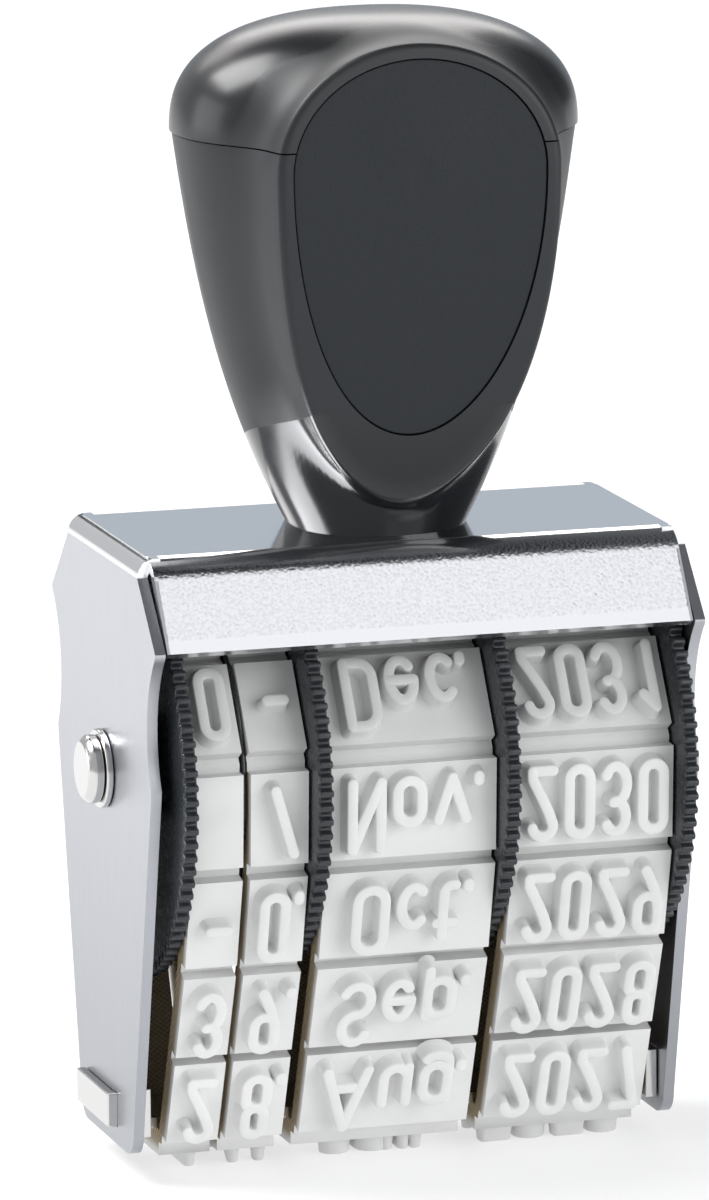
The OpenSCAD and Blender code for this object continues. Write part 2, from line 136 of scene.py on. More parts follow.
class Graph:
    """A material's node tree, and the one way that nodes get into it."""

    def __init__(self, name: str) -> None:
        """Starts a material with an empty tree.

        Args:
            name: the material's name.
        """
        self.material = bpy.data.materials.new(name)
        self.material.use_nodes = True
        self.tree = self.material.node_tree
        self.tree.nodes.clear()

    def node(self, kind: str, inputs: dict | None = None, settings: dict | None = None) -> bpy.types.Node:
        """Adds a node.

        Args:
            kind: the node's type, without the words that all types start with.
            inputs: socket values or links by socket name or index.
            settings: attributes, which are set first.

        Returns:
            The new node.
        """
        node = self.tree.nodes.new("ShaderNode" + kind)
        for key, value in (settings or {}).items():
            setattr(node, key, value)
        for key, value in (inputs or {}).items():
            self.feed(node.inputs[key], value)
        return node

    def value(self, kind: str, inputs: dict | None = None, settings: dict | None = None, out: str | int = 0) -> Sock:
        """One output of a new node."""
        return Sock(self, self.node(kind, inputs, settings).outputs[out])

    def feed(self, socket: bpy.types.NodeSocket, value: object) -> None:
        """Sets a socket, or links it where the value is a Sock.

        Args:
            socket: the input.
            value: a Sock or a plain value.
        """
        if isinstance(value, Sock):
            self.tree.links.new(value.socket, socket)
        else:
            socket.default_value = value

    def math(self, operation: str, a: Value, b: Value = 0.0) -> Sock:
        """Result of one Math node."""
        return self.value("Math", {0: a, 1: b}, {"operation": operation})

    def step(self, value: Sock, low: float, high: float) -> Sock:
        """Smooth step from 0 where the value is low to 1 where it is high."""
        inputs = {"Value": value, "From Min": low, "From Max": high}
        return self.value("MapRange", inputs, {"interpolation_type": "SMOOTHSTEP"})

    def mix(self, share: Value, first: Colour | Sock, second: Colour | Sock) -> Sock:
        """Mix of two colours.

        Args:
            share: share of the second colour.
            first: colour at 0.
            second: colour at 1.

        Returns:
            The mixed colour.
        """
        node = self.node("Mix", {"Factor": share}, {"data_type": "RGBA"})
        for name, colour in (("A", first), ("B", second)):
            socket = next(s for s in node.inputs if s.name == name and s.type == "RGBA")
            self.feed(socket, colour if isinstance(colour, Sock) else opaque(colour))
        return Sock(self, next(s for s in node.outputs if s.type == "RGBA"))

    def ramp(self, place: Sock, stops: Sequence[tuple[float, Colour]]) -> Sock:
        """Colour that follows a value through stops.

        Args:
            place: the value, 0 to 1.
            stops: places and colours, in order.

        Returns:
            The colour.
        """
        node = self.node("ValToRGB", {"Fac": place})
        elements = node.color_ramp.elements
        while len(elements) < len(stops):
            elements.new(1.0)
        for element, (position, colour) in zip(elements, stops):
            element.position, element.color = position, opaque(colour)
        return Sock(self, node.outputs["Color"])

    def place(self) -> Sock:
        """Object coordinates."""
        return self.value("TexCoord", out="Object")

    def axes(self) -> tuple[Sock, ...]:
        """Object coordinates in millimetres, one by one."""
        node = self.node("SeparateXYZ", {0: self.place()})
        return tuple(Sock(self, out) * (1 / MM) for out in node.outputs)

    def noise(self, grain: float, detail: float = 2.0, stretch: Triple = (1.0, 1.0, 1.0)) -> Sock:
        """Noise on Object coordinates, around a half.

        Args:
            grain: size of a grain in metres.
            detail: octaves.
            stretch: scale of the coordinates along each axis.

        Returns:
            The noise.
        """
        place = self.value("Mapping", {"Vector": self.place(), "Scale": stretch})
        return self.value("TexNoise", {"Vector": place, "Scale": 1 / grain, "Detail": detail})

    @staticmethod
    def vary(base: Value, noise: Sock, span: float) -> Sock:
        """A value that noise around a half moves up and down over a span."""
        return base + (noise - 0.5) * span

    def bump(self, height: Sock, strength: float, distance: float) -> Sock:
        """Normal of a relief from 0 to 1, from the share of it that shows and its height in metres."""
        return self.value("Bump", {"Height": height, "Strength": strength, "Distance": distance})

    def surface(self, **inputs: object) -> Material:
        """Ends the tree in a Principled surface.

        Args:
            inputs: socket values or links, with underscores for spaces.

        Returns:
            The finished material.
        """
        sockets = {key.replace("_", " "): value for key, value in inputs.items()}
        self.finish(self.value("BsdfPrincipled", sockets))
        return self.material

    def finish(self, shader: Sock) -> None:
        """Links a shader to the output."""
        self.node("OutputMaterial", {"Surface": shader})


@dataclass(frozen=True)
class ChromeFinish:
    """Bright chrome: polished top and bends, orange-peel flaps with painted shade on the peel, satin side plates
    painted darker as shade and darkest at the foot. Blurs are in mm.
    """

    colour: Colour = (0.86, 0.87, 0.89)
    # painted shade: the peel's pits are painted darker than the chrome
    pit_shade: Colour = (0.765, 0.775, 0.797)
    # painted shade: the side plates are the same chrome, painted darker, and darker still towards the foot
    side_shade_top: Colour = (0.462, 0.475, 0.507)
    side_shade_foot: Colour = (0.36, 0.373, 0.4)
    polished: float = 0.09
    satin: float = 0.3
    flap_rough: float = 0.1
    peel_grain: float = 0.2 * MM
    peel_detail: float = 0.6
    peel_height: float = 0.03 * MM
    peel_strength: float = 0.6
    pit_span: Point = (0.3, 0.75)
    brush_grain: float = 0.5 * MM
    brush_stretch: Triple = (1.0, 1.0, 0.12)
    brush_relief: float = 0.02
    brush_rough: float = 0.08
    side_blur: float = 0.05
    bend_blur: float = 0.15
    flap_blur: float = 1.4
    hem_blur: float = 0.1

    def material(self, side_x: float, bend_z: float, flap_y: float, hem_y: float) -> Material:
        """Builds the material.

        Args:
            side_x: where the side plates start, in mm from the middle.
            bend_z: where their bends into the top plate start.
            flap_y: where the flat of the flaps starts, in mm from the middle.
            hem_y: where the smooth strip along the flaps' lower edge starts.

        Returns:
            The material.
        """
        g = Graph(Slot.SHEET.value)
        x, y, z = g.axes()
        plate = g.step(abs(x), side_x - self.side_blur, side_x + self.side_blur)
        side = plate * g.step(bend_z - z, 0.0, self.bend_blur)
        flap = g.step(abs(y), flap_y, flap_y + self.flap_blur) * (1 - side)
        peeled = flap * (1 - g.step(abs(y), hem_y, hem_y + self.hem_blur))
        brushed = g.noise(self.brush_grain, FINE, self.brush_stretch)
        grain = g.noise(self.peel_grain, self.peel_detail)
        relief = grain * peeled + brushed * side * self.brush_relief
        side_rough = g.vary(self.satin - self.polished, brushed, self.brush_rough)
        # painted shade on the peel, following its grain
        colour = g.mix(g.step(grain, *self.pit_span) * peeled, self.colour, self.pit_shade)
        return g.surface(
            # painted shade: the side plates take the darker shade colours, darkest at the foot
            Base_Color=g.mix(side, colour, g.mix(g.step(z, 0.0, bend_z), self.side_shade_foot, self.side_shade_top)),
            Metallic=1.0,
            Roughness=self.polished + side * side_rough + flap * self.flap_rough,
            Normal=g.bump(relief, self.peel_strength, self.peel_height),
        )


@dataclass(frozen=True)
class PlainFinish:
    """One colour, with a roughness that varies over a span."""

    slot: Slot
    colour: Colour
    rough: float
    grain: float
    span: float
    metallic: float = 0.0

    def material(self) -> Material:
        """Builds the material."""
        g = Graph(self.slot.value)
        rough = g.vary(self.rough, g.noise(self.grain), self.span)
        return g.surface(Base_Color=opaque(self.colour), Metallic=self.metallic, Roughness=rough)


BRIGHT_STEEL = PlainFinish(Slot.STEEL, (0.62, 0.617, 0.61), rough=0.16, grain=0.3 * MM, span=0.1, metallic=1.0)
BLUE_BLACK = PlainFinish(Slot.WHEEL, (0.021, 0.024, 0.0285), rough=0.27, grain=0.6 * MM, span=0.06)


@dataclass(frozen=True)
class RubberFinish:
    """Pale grey type rubber, toned by height with painted shade: darker under the flaps, lighter or darker row by row
    as the light falls, and darker at the foot; with clouds of dust.
    """

    # painted shade: heights in mm and tones, the rubber's own pale grey darkened under the flaps, row by row and at
    # the foot
    tone_and_shade_stops: tuple[Point, ...] = (
        (0.9, 0.65), (1.6, 0.755), (6.2, 0.755), (7.4, 0.74), (13.0, 0.7), (18.0, 0.675), (26.5, 0.72), (30.0, 0.6),
    )
    top: float = 34.0
    green: float = 1.006
    dust: Colour = (0.2, 0.2, 0.195)
    dust_share: float = 0.06
    cloud_grain: float = 2.2 * MM
    cloud_span: Point = (0.4, 0.75)
    skin_grain: float = 0.12 * MM
    skin_height: float = 0.01 * MM
    skin_strength: float = 0.25
    stain: Colour = (0.34, 0.275, 0.18)
    stain_span: Point = (0.1, 0.7)
    rough: float = 0.62
    specular: float = 0.35

    def material(self) -> Material:
        """Builds the material."""
        g = Graph(Slot.RUBBER.value)
        stops = [(height / self.top, (tone, tone * self.green, tone)) for height, tone in self.tone_and_shade_stops]
        # painted shade by height over the rubber's own tone
        tone_and_shade = g.ramp(g.axes()[2] / self.top, stops)
        cloud = g.step(g.noise(self.cloud_grain, FINE), *self.cloud_span)
        edge = g.value("Attribute", None, {"attribute_name": EDGE}, "Fac")
        dusty_and_shaded = g.mix(cloud * self.dust_share, tone_and_shade, self.dust)
        colour = g.mix(g.step(edge, *self.stain_span), dusty_and_shaded, self.stain)
        normal = g.bump(g.noise(self.skin_grain), self.skin_strength, self.skin_height)
        return g.surface(Base_Color=colour, Roughness=self.rough, Specular_IOR_Level=self.specular, Normal=normal)


@dataclass(frozen=True)
class WovenFinish:
    """Tan woven strip, darker between its threads."""

    thread: Colour = (0.56, 0.46, 0.31)
    gap: Colour = (0.25, 0.19, 0.11)
    pitch: float = 0.42 * MM
    height: float = 0.06 * MM
    strength: float = 0.7
    fray_grain: float = 0.35 * MM
    fray_share: float = 0.35
    rough: float = 0.9
    specular: float = 0.2

    def material(self) -> Material:
        """Builds the material."""
        g = Graph(Slot.WOVEN.value)
        x, y, z = g.axes()
        turn = 2 * math.pi * MM / self.pitch
        weave = g.math("SINE", x * turn) * g.math("SINE", (y + z) * turn) * 0.5 + 0.5
        share = weave * (1 - self.fray_share) + g.noise(self.fray_grain, FINE) * self.fray_share
        colour = g.mix(share, self.gap, self.thread)
        normal = g.bump(weave, self.strength, self.height)
        return g.surface(Base_Color=colour, Roughness=self.rough, Specular_IOR_Level=self.specular, Normal=normal)


@dataclass(frozen=True)
class ShieldMap:
    """Where the shield lies on the handle, for the handle's finishes, in mm."""

    half: float
    up: float
    down: float
    middle_z: float
    front_blur: float = 0.5

    def cover(self, g: Graph, place: Sequence[Sock], span: Point, wider: Value = 0.0) -> Sock:
        """How far the shield covers the front.

        Args:
            g: the graph.
            place: Object coordinates in mm.
            span: distances between which the cover ends, where 1 is the shield's outline.
            wider: how much further it reaches.

        Returns:
            1 on the shield, 0 beside and behind it.
        """
        x, y, z = place
        rise = z - self.middle_z
        above = g.math("MAXIMUM", rise) / self.up
        below = g.math("MINIMUM", rise) / self.down
        across = x / self.half
        reach = g.math("SQRT", across * across + above * above + below * below)
        return (1 - g.step(reach - wider, *span)) * g.step(0 - y, 0.0, self.front_blur)


@dataclass(frozen=True)
class GripFinish:
    """Satin charcoal moulding with a polished neck beside the tongue, painted darker towards the foot as shade.
    Heights and blurs are in mm.
    """

    colour: Colour = (0.0125, 0.0155, 0.019)
    # painted shade: the darker colour of the neck and the tongue's foot
    deep: Colour = (0.005, 0.0062, 0.0076)
    foot_shade_span: Point = (44.0, 51.0)
    matt: float = 0.44
    gloss: float = 0.17
    neck_top: float = 47.3
    neck_lean: float = 0.28
    neck_blur: float = 0.04
    tongue_span: Point = (0.92, 1.02)
    grain: float = 0.16 * MM
    grain_height: float = 0.006 * MM
    grain_strength: float = 0.3
    grain_end: float = 0.25
    cloud_grain: float = 3 * MM
    cloud_rough: float = 0.05
    specular: float = 0.4
    coat: float = 0.3
    coat_rough: float = 0.12

    def material(self, shield: ShieldMap) -> Material:
        """Builds the material.

        Args:
            shield: where the matt tongue lies.

        Returns:
            The material.
        """
        g = Graph(Slot.GRIP.value)
        x, y, z = g.axes()
        low = g.step(self.neck_top - self.neck_lean * y - z, -self.neck_blur, self.neck_blur)
        polished = low * (1 - shield.cover(g, (x, y, z), self.tongue_span))
        grain = g.noise(self.grain) * (1 - g.step(polished, 0.0, self.grain_end))
        rough = self.matt - polished * (self.matt - self.gloss)
        return g.surface(
            # painted shade: darker below about the neck's top
            Base_Color=g.mix(g.step(z, *self.foot_shade_span), self.deep, self.colour),
            Roughness=g.vary(rough, g.noise(self.cloud_grain), self.cloud_rough),
            Specular_IOR_Level=self.specular,
            Normal=g.bump(grain, self.grain_strength, self.grain_height),
            Coat_Weight=polished * self.coat,
            Coat_Roughness=self.coat_rough,
        )


@dataclass(frozen=True)
class CapFinish:
    """Polished charcoal dome with a satin rim. Heights are in mm."""

    colour: Colour = (0.0085, 0.01, 0.012)
    gloss: float = 0.26
    matt: float = 0.45
    crown_z: float = 72.8
    crown_blur: float = 1.8
    rim_span: Point = (1.03, 1.1)
    rim_wider: float = 0.14
    cloud_grain: float = 4 * MM
    cloud_rough: float = 0.03

    def material(self, shield: ShieldMap) -> Material:
        """Builds the material.

        Args:
            shield: where the satin rim lies.

        Returns:
            The material.
        """
        g = Graph(Slot.CAP.value)
        place = g.axes()
        low = 1 - g.step(place[2], self.crown_z - self.crown_blur, self.crown_z)
        rim = shield.cover(g, place, self.rim_span, low * self.rim_wider)
        rough = self.gloss + rim * (self.matt - self.gloss)
        rough = g.vary(rough, g.noise(self.cloud_grain), self.cloud_rough)
        return g.surface(Base_Color=opaque(self.colour), Roughness=rough)


@dataclass(frozen=True)
class PanelFinish:
    """Fine eroded grain of the inlaid panel."""

    colour: Colour = (0.0125, 0.0155, 0.0192)
    rough: float = 0.55
    rough_span: float = 0.25
    grain: float = 0.2 * MM
    grain_height: float = 0.02 * MM
    grain_strength: float = 0.6
    specular: float = 0.3

    def material(self) -> Material:
        """Builds the material."""
        g = Graph(Slot.PANEL.value)
        grain = g.noise(self.grain, FINE)
        return g.surface(
            Base_Color=opaque(self.colour),
            Roughness=g.vary(self.rough, grain, self.rough_span),
            Specular_IOR_Level=self.specular,
            Normal=g.bump(grain, self.grain_strength, self.grain_height),
        )


class Bench:
    """Operators as they are used at a workbench. Meshes are worked in mm and scaled to metres at the end."""

    @staticmethod
    def clear() -> None:
        """Goes to object mode with nothing selected."""
        if bpy.context.object and bpy.context.object.mode != "OBJECT":
            bpy.ops.object.mode_set(mode="OBJECT")
        bpy.ops.object.select_all(action="DESELECT")

    @staticmethod
    def pick(*objects: Object) -> None:
        """Selects objects and makes the first one active."""
        Bench.clear()
        for obj in objects:
            obj.select_set(True)
        bpy.context.view_layer.objects.active = objects[0]

    @staticmethod
    @contextmanager
    def editing(obj: Object, elements: str = "FACE", everything: bool = True) -> Iterator[None]:
        """Edit mode on one object.

        Args:
            obj: the object.
            elements: what is selected, VERT, EDGE or FACE.
            everything: whether all of it is selected first.
        """
        Bench.pick(obj)
        bpy.ops.object.mode_set(mode="EDIT")
        bpy.ops.mesh.select_mode(type=elements)
        if everything:
            bpy.ops.mesh.select_all(action="SELECT")
        yield
        bpy.ops.object.mode_set(mode="OBJECT")

    @staticmethod
    def new(name: str) -> Object:
        """Names the primitive that an operator has just added."""
        obj = bpy.context.object
        obj.name = name
        obj.data.name = name
        return obj

    @staticmethod
    def add(name: str, data: bpy.types.ID) -> Object:
        """Puts an object made of data in the scene.

        Args:
            name: its name.
            data: its mesh, lamp or camera.

        Returns:
            The object.
        """
        obj = bpy.data.objects.new(name, data)
        bpy.context.scene.collection.objects.link(obj)
        return obj

    @staticmethod
    def points(obj: Object) -> Array:
        """Places of a mesh's vertices, one row for each."""
        return np.array([v.co for v in obj.data.vertices])

    @staticmethod
    def put(obj: Object, points: Array) -> None:
        """Moves every vertex of a mesh to its row of points."""
        obj.data.vertices.foreach_set("co", np.asarray(points, np.float32).ravel())
        obj.data.update()

    @staticmethod
    def sheet(name: str, across: int, down: int) -> tuple[Object, Array]:
        """A flat grid, to be moved into shape.

        Args:
            name: its name.
            across: its columns of faces.
            down: its rows of faces.

        Returns:
            The grid, and its vertices' places from -1 to 1.
        """
        Bench.clear()
        bpy.ops.mesh.primitive_grid_add(x_subdivisions=across, y_subdivisions=down, size=2)
        obj = Bench.new(name)
        return obj, Bench.points(obj)

    @staticmethod
    def ball(name: str, spokes: int, rows: int) -> tuple[Object, Array, Array]:
        """A ball, to be drawn onto a form.

        Args:
            name: its name.
            spokes: its faces around.
            rows: its faces from pole to pole.

        Returns:
            The ball, and each vertex's row from the upper pole and angle around.
        """
        Bench.clear()
        bpy.ops.mesh.primitive_uv_sphere_add(segments=spokes, ring_count=rows, radius=1)
        obj = Bench.new(name)
        x, y, z = Bench.points(obj).T
        return obj, np.rint(np.arccos(np.clip(z, -1, 1)) / math.pi * rows).astype(int), np.arctan2(y, x)

    @staticmethod
    def outward(obj: Object) -> None:
        """Turns all faces outwards."""
        with Bench.editing(obj):
            bpy.ops.mesh.normals_make_consistent(inside=False)

    @staticmethod
    def soften(obj: Object, width: float, segments: int = 2, angle: float = FOLD_ANGLE) -> None:
        """Bevels sharp edges and shades the rest smooth.

        Args:
            obj: the object.
            width: bevel width in mm.
            segments: faces across the bevel.
            angle: degrees above which an edge is sharp.
        """
        Bench.pick(obj)
        edge = obj.modifiers.new("edge", "BEVEL")
        edge.width = width
        edge.segments = segments
        edge.limit_method = "ANGLE"
        edge.angle_limit = math.radians(angle)
        bpy.ops.object.modifier_apply(modifier=edge.name)
        bpy.ops.object.shade_smooth_by_angle(angle=math.radians(angle))
        flat = obj.modifiers.new("flat", "WEIGHTED_NORMAL")
        flat.keep_sharp = True
        bpy.ops.object.modifier_apply(modifier=flat.name)

    @staticmethod
    def join(name: str, objects: Sequence[Object]) -> Object:
        """Joins objects into the first one.

        Args:
            name: the joined piece's name.
            objects: what is joined.

        Returns:
            The piece.
        """
        Bench.pick(*objects)
        if len(objects) > 1:
            bpy.ops.object.join()
        return Bench.new(name)

    @staticmethod
    def copy_node(node: str) -> Object:
        """A merged copy of a solid in mm, with whole flat faces.

        Args:
            node: the solid's name.

        Returns:
            The copy.
        """
        obj = Bench.add(node + "_dressed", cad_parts[node].data.copy())
        obj.data.transform(Matrix.Scale(1 / MM, 4))
        with Bench.editing(obj, "VERT"):
            bpy.ops.mesh.customdata_custom_splitnormals_clear()
            bpy.ops.mesh.remove_doubles(threshold=WELD)
            bpy.ops.mesh.dissolve_limited(angle_limit=math.radians(FLAT_ANGLE))
        return obj

    @staticmethod
    def fit(obj: Object, body: Body, slot: Slot, material: Material, *nodes: str) -> None:
        """Hands a finished piece in mm over to the frame.

        Args:
            obj: the piece.
            body: the body that it rides on.
            slot: the record's slot of its finish; not used.
            material: its material.
            nodes: the solids that it stands for.
        """
        obj.data.transform(Matrix.Scale(MM, 4))
        obj.data.update()
        obj.data.materials.clear()
        obj.data.materials.append(material)
        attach(obj, body.value)
        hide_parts(*nodes)
        LOG.info("%s: %d faces on %s", obj.name, len(obj.data.polygons), body.value)

    @staticmethod
    def dress_node(node: str, material: Material) -> None:
        """Gives a solid whose shape is right its material."""
        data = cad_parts[node].data
        data.materials.clear()
        data.materials.append(material)
        LOG.info("%s: dressed as it is", node)


@dataclass
class Fittings:
    """Bent sheet frame, bridge, axle and wheels, copied from the solids with broken edges. Sizes in mm."""

    sheet_edge: float = 0.09
    steel_edge: float = 0.12
    tooth_edge: float = 0.17
    tooth_angle: float = 25.0
    segments: int = 3
    side_depth: float = 1.0
    bend_depth: float = 1.1
    flap_y: float = 8.0
    hem: float = 0.55

    def build(self) -> None:
        """Makes and dresses the pieces."""
        steel, wheel = BRIGHT_STEEL.material(), BLUE_BLACK.material()
        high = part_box("frame")[1] / MM
        sheet = Bench.copy_node("frame")
        Bench.soften(sheet, self.sheet_edge, self.segments)
        zones = (high.x - self.side_depth, high.z - self.bend_depth, self.flap_y, high.y - self.hem)
        Bench.fit(sheet, Body.ROOT, Slot.SHEET, ChromeFinish().material(*zones), "frame")
        for node in ("bridge", "axle", "axle_rings"):
            piece = Bench.copy_node(node)
            Bench.soften(piece, self.steel_edge, self.segments)
            Bench.fit(piece, Body.ROOT, Slot.STEEL, steel, node)
        for node, material in (("handle_screw", steel), ("screw_washer", steel), ("axle_spacer", wheel)):
            Bench.dress_node(node, material)
        drives = {
            "day_tens_wheel": Body.DAY_TENS,
            "day_units_wheel": Body.DAY_UNITS,
            "month_wheel": Body.MONTH,
            "year_wheel": Body.YEAR,
        }
        for node, body in drives.items():
            piece = Bench.copy_node(node)
            Bench.soften(piece, self.tooth_edge, self.segments, self.tooth_angle)
            Bench.fit(piece, body, Slot.WHEEL, wheel, node)


class Pen:
    """Middle lines of plain type, in mm, with the foot of a figure at 0."""

    tall = 4.3
    low = 2.7
    tail = -0.75
    figure = 1.38
    bowl = 1.6
    arc_step = 14
    sweep_steps = 10
    least_flank = 0.02

    @classmethod
    def arc(cls, x: float, y: float, rx: float, ry: float, start: float, end: float) -> list[Point]:
        """Points along an elliptic arc.

        Args:
            x: its middle across.
            y: its middle upwards.
            rx: its half width.
            ry: its half height.
            start: first angle in degrees.
            end: last angle in degrees.

        Returns:
            The points.
        """
        count = max(3, round(abs(end - start) / cls.arc_step))
        angles = [math.radians(start + (end - start) * k / count) for k in range(count + 1)]
        return [(x + rx * math.cos(a), y + ry * math.sin(a)) for a in angles]

    @classmethod
    def sweep(cls, a: Point, b: Point, c: Point) -> list[Point]:
        """Points along a quadratic curve from a to c, pulled towards b."""
        steps = [k / cls.sweep_steps for k in range(cls.sweep_steps + 1)]
        return [tuple((1 - t) ** 2 * p + 2 * t * (1 - t) * q + t * t * r for p, q, r in zip(a, b, c)) for t in steps]

    @classmethod
    def ring(cls, x: float, y: float, rx: float, ry: float) -> list[Point]:
        """A closed upright ring with straight flanks where it is taller than wide."""
        flank = max(0.0, ry - rx)
        cap = min(rx, ry)
        top = cls.arc(x, y + flank, rx, cap, 0, 180)
        foot = cls.arc(x, y - flank, rx, cap, 180, 360)
        points = top + foot if flank > cls.least_flank else top[:-1] + foot[:-1]
        return points + [points[0]]

    @staticmethod
    def line(*points: Point) -> list[list[Point]]:
        """Straight strokes from point to point, with sharp corners."""
        return [[a, b] for a, b in zip(points, points[1:])]

    @classmethod
    def strokes(cls, sign: str) -> list[list[Point]]:
        """The strokes of one character.

        Args:
            sign: the character.

        Returns:
            Its strokes; a stroke that ends where it starts is closed.
        """
        tall, low, tail, w, b = cls.tall, cls.low, cls.tail, cls.figure, cls.bowl
        r, s, h = w / 2, b / 2, low / 2
        arc, ring, sweep, line = cls.arc, cls.ring, cls.sweep, cls.line
        six = [ring(r, 1.22, r, 1.22), sweep((0.01, 1.35), (0.12, 2.7), (1.02, tall))]
        turned = [[(w - x, tall - y) for x, y in stroke] for stroke in six]
        round_low = ring(s, h, s, h)
        table: dict[str, list[list[Point]]] = {
            "0": [ring(r, tall / 2, r, tall / 2)],
            "1": line((0.3, 3.4), (1.0, tall), (1.0, 0)),
            "2": [
                arc(r, tall - r, r, r, 172, -30) + sweep((1.2, 2.95), (0.75, 1.95), (0.02, 0.55))[1:] + [(0, 0)],
                [(0, 0), (w, 0)],
            ],
            "3": [
                arc(0.62, 3.3, 0.68, 1.0, 150, -80) + [(0.5, 2.36)],
                [(0.5, 2.36)] + arc(0.62, 1.18, 0.74, 1.18, 84, -150),
            ],
            "4": line((0.95, tall), (0, 1.25), (1.5, 1.25)) + line((1.12, 2.3), (1.12, 0)),
            "5": line((1.28, tall), (0.2, tall), (0.12, 2.4)) + [arc(0.6, 1.35, 0.76, 1.35, 128, -150)],
            "6": six,
            "7": line((0, tall), (w, tall), (0.45, 0)),
            "8": [ring(r, 3.28, 0.6, 1.02), ring(r, 1.15, r, 1.15)],
            "9": turned,
            "-": line((0.15, tall / 2), (1.25, tall / 2)),
            "/": line((0.1, 0.1), (1.3, 4.2)),
            ".": line((0, 0), (0, 0.28)),
            "A": line((0, 0), (1.35, tall), (2.7, 0)) + line((0.5, 1.3), (2.2, 1.3)),
            "D": [
                [(0, 0), (0, tall)],
                [(0, tall)] + arc(0.85, 3.3, 0.95, 1.0, 90, 0) + arc(0.85, 1.0, 0.95, 1.0, 0, -90) + [(0, 0)],
            ],
            "F": line((0, 0), (0, tall), (1.7, tall)) + line((0, 2.3), (1.4, 2.3)),
            "J": [[(1.3, tall)] + arc(0.62, 0.72, 0.68, 0.72, 0, -160)],
            "M": line((0, 0), (0, tall), (1.1, 1.4), (2.2, tall), (2.2, 0)),
            "N": line((0, 0), (0, tall), (1.9, 0), (1.9, tall)),
            "O": [ring(0.92, tall / 2, 0.92, tall / 2)],
            "S": [arc(0.9, 3.25, 0.85, 1.05, 30, 262) + arc(0.9, 1.1, 0.92, 1.1, 82, -152)],
            "a": [round_low, [(b, low), (b, 0)]],
            "b": [round_low, [(0, tall), (0, 0)]],
            "c": [arc(s, h, s, h, 48, 312)],
            "e": [[(0, h), (b, h)], arc(s, h, s, h, 0, 318)],
            "g": [round_low, [(b, low), (b, -0.2)] + arc(s, -0.2, s, -tail - 0.2, 0, -150)[1:]],
            "l": line((0, tall), (0, 0)),
            "n": [[(0, 0), (0, low)], arc(s, low - s, s, s, 180, 0) + [(b, 0)]],
            "o": [round_low],
            "p": [round_low, [(0, low), (0, tail)]],
            "r": [[(0, 0), (0, low)], arc(s, low - s, s, s, 180, 55)],
            "t": [[(0.35, 3.6)] + arc(0.9, 0.55, 0.55, 0.55, 180, 285), [(0, low), (1.1, low)]],
            "u": [[(0, low)] + arc(s, s, s, s, 180, 360), [(b, low), (b, 0)]],
            "v": line((0, low), (0.92, 0), (1.84, low)),
            "y": line((0, low), (0.86, 0)) + line((1.72, low), (0.6, tail)),
        }
        return table[sign]


